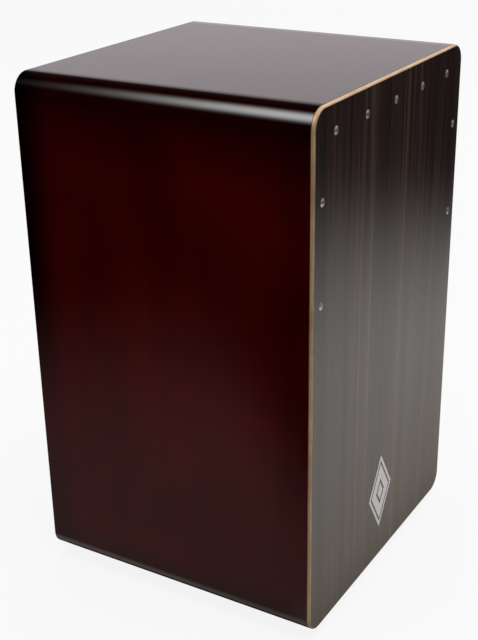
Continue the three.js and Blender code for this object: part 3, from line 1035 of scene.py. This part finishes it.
def clip_mesh(centre, grip):
    """A folded strip that grips the strands up to a height."""
    half = CLIP_HEIGHT / 2
    outline = [(CLIP_FRONT, -half + CLIP_CHAMFER), (CLIP_FRONT + CLIP_CHAMFER, -half),
               (CLIP_BACK - CLIP_CHAMFER, -half), (CLIP_BACK, -half + CLIP_CHAMFER),
               (CLIP_BACK, half), (CLIP_BACK - CLIP_SHEET, half), (CLIP_BACK - CLIP_SHEET, grip),
               (CLIP_FRONT + CLIP_SHEET, grip), (CLIP_FRONT + CLIP_SHEET, half), (CLIP_FRONT, half)]
    vertices = [(x, y, z) for x in (centre - CLIP_WIDTH / 2, centre + CLIP_WIDTH / 2)
                for y, z in outline]
    holes = [wire_screw_hole(CLIP_FRONT - 1, CLIP_BACK + 1, centre + end * CLIP_SCREW_OFFSET)
             for end in (-1, 1)]
    return cut_mesh(mesh_from("clip", vertices, skin(2, len(outline))), holes)


def wires_mesh(side):
    """A folded clip with its row of coiled strands, leaning outwards on its own side."""
    centre = side * CLIP_CENTRE
    vertices = []
    faces = []
    along = Vector((side * math.sin(STRAND_FAN), 0, math.cos(STRAND_FAN)))
    grip = CLIP_HEIGHT * 0.2
    for i in range(STRAND_COUNT):
        x = centre + (i - (STRAND_COUNT - 1) / 2) * STRAND_SPACING
        base = Vector((x, STRAND_Y, 0)) + along * grip
        coil(base, along, STRAND_LENGTH - grip, vertices, faces)
    mesh = joined("snare_wires", [clip_mesh(centre, grip), raw_mesh("strands", vertices, faces)])
    mesh.polygons.foreach_set("use_smooth", [True] * len(mesh.polygons))
    mesh.set_sharp_from_angle(angle=CLIP_SHARP_ANGLE)
    return mesh


def build_snare():
    tilted = snare_matrix()
    show_for("snare_bar", turned_copy(bar_mesh(), tilted), [DOWEL], "snare")
    for side, name in SIDES:
        show_for(f"snare_wires_{name}", turned_copy(wires_mesh(side), tilted), [WIRE_STEEL],
                 "snare")
    screw = pan_screw("wire_screw", 2.6, 1.6, 1.2, 9)
    for i, x in enumerate(wire_screw_spots(), 1):
        place = move(x, WIRE_SCREW_SEAT, 0) @ Matrix.Rotation(i, 4, "Y")
        show_for(f"snare_wire_screw_{i}", turned_copy(screw, tilted @ place), [BRIGHT_STEEL],
                 "snare")


KNOB_LENGTH = 10
KNOB_RADIUS = 8
KNOB_LOBES = 8
LOCK_CORE = 2.1
LOCK_THREAD_DEPTH = 0.4
LOCK_POINT = 0.9


def lobed(shrink):
    """The knob's outline, drawn in by some millimetres."""
    return lambda angle: KNOB_RADIUS - shrink + math.cos(KNOB_LOBES * angle)


def lock_screw_mesh(length):
    """A lobed thumb knob on a threaded shank. The knob's seat is at y = 0, its shank at -Y."""
    rings = [(-length, LOCK_CORE - 0.5), (-length + LOCK_POINT, LOCK_CORE)]
    step = THREAD_PITCH / THREAD_SAMPLES
    y = -length + LOCK_POINT + step
    while y < -0.3:
        rings.append((y, thread_radius(y, LOCK_CORE, LOCK_THREAD_DEPTH)))
        y += step
    rings += [(0.0, 2.5), (0.0, 5.5), (0.4, lobed(1.6)), (0.9, lobed(0.6)), (1.6, lobed(0)),
              (KNOB_LENGTH - 1.8, lobed(0)), (KNOB_LENGTH - 0.9, lobed(0.4)),
              (KNOB_LENGTH - 0.3, lobed(1.3)), (KNOB_LENGTH, lobed(2.4)), (KNOB_LENGTH, 4.6),
              (KNOB_LENGTH - 0.6, 4.0), (KNOB_LENGTH - 0.6, 0.1)]
    return rings_mesh("lock_screw", rings, 96)


def build_lock_screws():
    for _, side in SIDES:
        node = f"snare_lock_screw_{side}"
        low, high = box_mm(node)
        seat = high.y - KNOB_LENGTH
        mesh = lock_screw_mesh(seat - low.y)
        mesh.transform(move((low.x + high.x) / 2, seat, (low.z + high.z) / 2))
        show_for(node, mesh, [KNOB_STEEL], f"lock_screw_{side}")


# ---- CAD pieces that stay: battens and blocks ----


BATTEN_EASE = 0.6
BATTEN_EASE_ANGLE = math.radians(40)


def dress_cad(node, material):
    """Gives a CAD piece its material and eased edges."""
    piece = frame["nodes"][node]
    piece.data.materials.clear()
    piece.data.materials.append(material)
    bevel = piece.modifiers.new("ease", "BEVEL")
    bevel.width = BATTEN_EASE * MM
    bevel.segments = 2
    bevel.limit_method = "ANGLE"
    bevel.angle_limit = BATTEN_EASE_ANGLE


def dress_battens():
    for prefix in ("front", "back"):
        for place, material in (("top", BATTEN_LEVEL), ("bottom", BATTEN_LEVEL),
                                ("left", BATTEN_UP), ("right", BATTEN_UP)):
            dress_cad(f"{prefix}_batten_{place}", material)
    for _, side in SIDES:
        dress_cad(f"snare_block_{side}", BATTEN_UP)


# ---- Stage: floor, light and camera ----

FLOOR_SIZE = 30.0
FLOOR_TINT = (1.0, 0.965, 0.93)
# Painted shade: the mirrored floor is darker and warmer here.
FLOOR_CLOSE_SHADE_TINT = (0.86, 0.77, 0.66)  # just before the plate
FLOOR_LEVEL = 0.065  # of its colour, as the camera sees it
FLOOR_BOUNCE = 0.40  # of its colour, for the light that it throws back
FLOOR_GLOW = 0.885  # what the camera sees of the floor besides the light that falls on it
FAR_GLOW = 0.93
BACKDROP_LEVEL = 0.95
WALL_LEVEL = 0.81
WALL_TINT = (1.0, 0.905, 0.940)
ROOM_LEVEL = 0.02
SOFT_LIGHT_PLACE = (-0.438, 0.083, 0.877)
SOFT_LIGHT_TARGET = (0, 0, 0.25)
SOFT_LIGHT_REACH = (0.228, 0.189)
SOFT_LIGHT_LEVEL = 9.4
SOFT_LIGHT_EDGE = 2.3
SOFT_LIGHT_SIZE = 1.2
OVERHEAD_PLACE = (0.0, -0.4, 4.0)
OVERHEAD_TARGET = (0, 0, 0.25)
OVERHEAD_SIZE = 4.0
OVERHEAD_POWER = 250


def beyond_box(g, place):
    """Distance outside the box's footprint, negative under it."""
    return g.math("MAXIMUM", g.beyond(place["X"], HALF_WIDTH * MM),
                  g.beyond(place["Y"], SHELL_BACK * MM))


def pool_of_light(g, place):
    """A painted reflection: what the gloss of the box mirrors of the floor, brightest before the plate.
    """
    x, y = place["X"], place["Y"]
    reach = g.math("SQRT", g.math("ADD", g.times(x, x), g.times(y, y)))
    before = g.range(reach, 0.55, 1.42, 0.83, 0.0, smooth=True)
    beside = g.times(g.range(reach, 0.30, 1.00, 0.20, 0.0, smooth=True),
                     g.range(g.math("ADD", y, g.times(x, 0.9)), -0.44, -0.27, smooth=True))
    # A faint line of light along the foot of each side, weaker towards the plate.
    rim = g.ramp(g.range(g.beyond(x, HALF_WIDTH * MM), -0.02, 0.05),
                 (0.24, 0.0), (0.34, 0.28), (0.50, 0.28), (0.66, 0.0))
    rim = g.times(rim, g.range(y, -0.15, 0.02, 0.55, 1.0))
    beside = g.math("ADD", beside, g.times(rim, g.range(y, -0.15, -0.14)))
    side = g.ramp(g.range(y, -0.40, 0.0), (0.12, 1.0), (0.55, 0.70), (0.62, 0.45), (0.75, 0.0))
    # Painted shade: the mirrored floor darkens and warms just before the plate.
    close = g.ramp(g.range(y, -0.30, -0.10), (0.15, 0.0), (0.76, 1.0), (0.80, 0.0))
    # No light under the box.
    shaded = g.range(beyond_box(g, place), -0.008, 0.002, smooth=True)
    return g.tinted(g.times(g.mix(side, beside, before), shaded),
                    g.mix(close, FLOOR_TINT, FLOOR_CLOSE_SHADE_TINT))


def floor_material():
    """Pale and matt, a little lit from within so that its shadow stays soft, and with a painted shadow
    under the box.
    """
    g, place = new_material("studio_floor")
    g.owner.cycles.emission_sampling = "NONE"
    place = g.split(place)
    away = g.range(beyond_box(g, place), 0.5, 5.0, FLOOR_GLOW, FAR_GLOW)
    # Painted shadow: the floor's glow darkens under the box and just beside its foot.
    under = g.range(beyond_box(g, place), -0.036, -0.020, 0.40, 1.0, smooth=True)
    seen = g.add("ShaderNodeAddShader")
    g.put(seen.inputs[0], g.emission(g.times(away, under)))
    g.put(seen.inputs[1], g.diffuse(FLOOR_LEVEL))
    path = g.add("ShaderNodeLightPath").outputs
    shader = g.pick(path["Is Camera Ray"], g.diffuse(FLOOR_BOUNCE), seen.outputs["Shader"])
    mirrored = g.emission(pool_of_light(g, place))
    return g.output(g.pick(path["Is Glossy Ray"], shader, mirrored))


def add_square(name, size, material):
    """A level square, in metres."""
    half = size / 2
    mesh = bpy.data.meshes.new(name)
    mesh.from_pydata([(-half, -half, 0), (half, -half, 0), (half, half, 0), (-half, half, 0)],
                     [], [(0, 1, 2, 3)])
    mesh.materials.append(material)
    return add_object(name, mesh)


def build_floor():
    add_square("floor", FLOOR_SIZE, floor_material())


def build_world():
    """A white room to the camera. The top of the box mirrors a low bright wall behind it."""
    world = bpy.data.worlds.new("studio")
    bpy.context.scene.world = world
    g = Graph(world)
    direction = g.split(g.add("ShaderNodeTexCoord").outputs["Generated"])
    wall = g.ramp(direction["Z"], (0.25, 1.0), (0.33, 0.42), (0.40, 0.16), (0.52, 0.05), (0.66, 0.0))
    behind = g.range(direction["X"], -0.1, 0.4, 0.0, WALL_LEVEL, smooth=True)
    room = g.tinted(g.times(wall, behind), WALL_TINT)
    room = g.mix(1.0, room, ROOM_LEVEL, "ADD")
    is_camera = g.add("ShaderNodeLightPath").outputs["Is Camera Ray"]
    seen = g.mix(is_camera, room, BACKDROP_LEVEL)
    background = g.feed(g.add("ShaderNodeBackground"), Color=seen)
    g.output(background.outputs["Background"], "ShaderNodeOutputWorld")


def aim(obj, target):
    obj.rotation_euler = (Vector(target) - obj.location).to_track_quat("-Z", "Y").to_euler()


def soft_light_material():
    """A glow that dies away from the panel's middle."""
    g, place = new_material("soft_light")
    g.owner.cycles.emission_sampling = "NONE"
    place = g.split(place)
    parts = []
    for axis, reach in zip("XY", SOFT_LIGHT_REACH):
        share = g.math("ABSOLUTE", g.math("DIVIDE", place[axis], reach))
        parts.append(g.math("POWER", share, SOFT_LIGHT_EDGE))
    fade = g.math("EXPONENT", g.times(g.math("ADD", *parts), -1.0))
    return g.output(g.emission(g.times(fade, SOFT_LIGHT_LEVEL)))


def build_soft_light():
    """A panel over the left of the box, seen only as the gleam along its rounded edge."""
    panel = add_square("soft_light", SOFT_LIGHT_SIZE, soft_light_material())
    panel.location = SOFT_LIGHT_PLACE
    aim(panel, SOFT_LIGHT_TARGET)
    for use in ("camera", "diffuse", "transmission", "shadow"):
        setattr(panel, "visible_" + use, False)


def build_overhead_light():
    """A wide light from above that the gloss doesn't mirror."""
    light = bpy.data.lights.new("overhead_softbox", "AREA")
    light.shape = "RECTANGLE"
    light.size = light.size_y = OVERHEAD_SIZE
    light.energy = OVERHEAD_POWER
    lamp = add_object("overhead_softbox", light)
    lamp.location = OVERHEAD_PLACE
    aim(lamp, OVERHEAD_TARGET)
    lamp.visible_glossy = False


CAMERA_PLACE = (-0.9230, -0.5417, 0.7038)
CAMERA_YAW = 58.940  # from +Y towards +X
CAMERA_PITCH = -23.737
CAMERA_ROLL = -1.004
CAMERA_LENS = 67.05
CAMERA_SENSOR = 36.0


def build_camera():
    yaw, pitch, roll = (math.radians(a) for a in (CAMERA_YAW, CAMERA_PITCH, CAMERA_ROLL))
    ahead = Vector((math.cos(pitch) * math.sin(yaw), math.cos(pitch) * math.cos(yaw), math.sin(pitch)))
    right = ahead.cross(Vector((0, 0, 1))).normalized()
    up = right.cross(ahead)
    rolled_right = math.cos(roll) * right + math.sin(roll) * up
    rolled_up = -math.sin(roll) * right + math.cos(roll) * up
    data = bpy.data.cameras.new("camera")
    data.sensor_width = CAMERA_SENSOR
    data.lens = CAMERA_LENS
    camera = add_object("camera", data)
    turn = Matrix((rolled_right, rolled_up, -ahead)).transposed()
    camera.matrix_world = Matrix.Translation(CAMERA_PLACE) @ turn.to_4x4()
    bpy.context.scene.camera = camera


# ---- Put together ----

build_shell()
build_plate()
build_emblem()
build_back()
build_screws()
build_feet()
build_snare()
build_lock_screws()
dress_battens()
build_floor()
build_world()
build_soft_light()
build_overhead_light()
build_camera()
bpy.context.scene.view_settings.view_transform = "Standard"
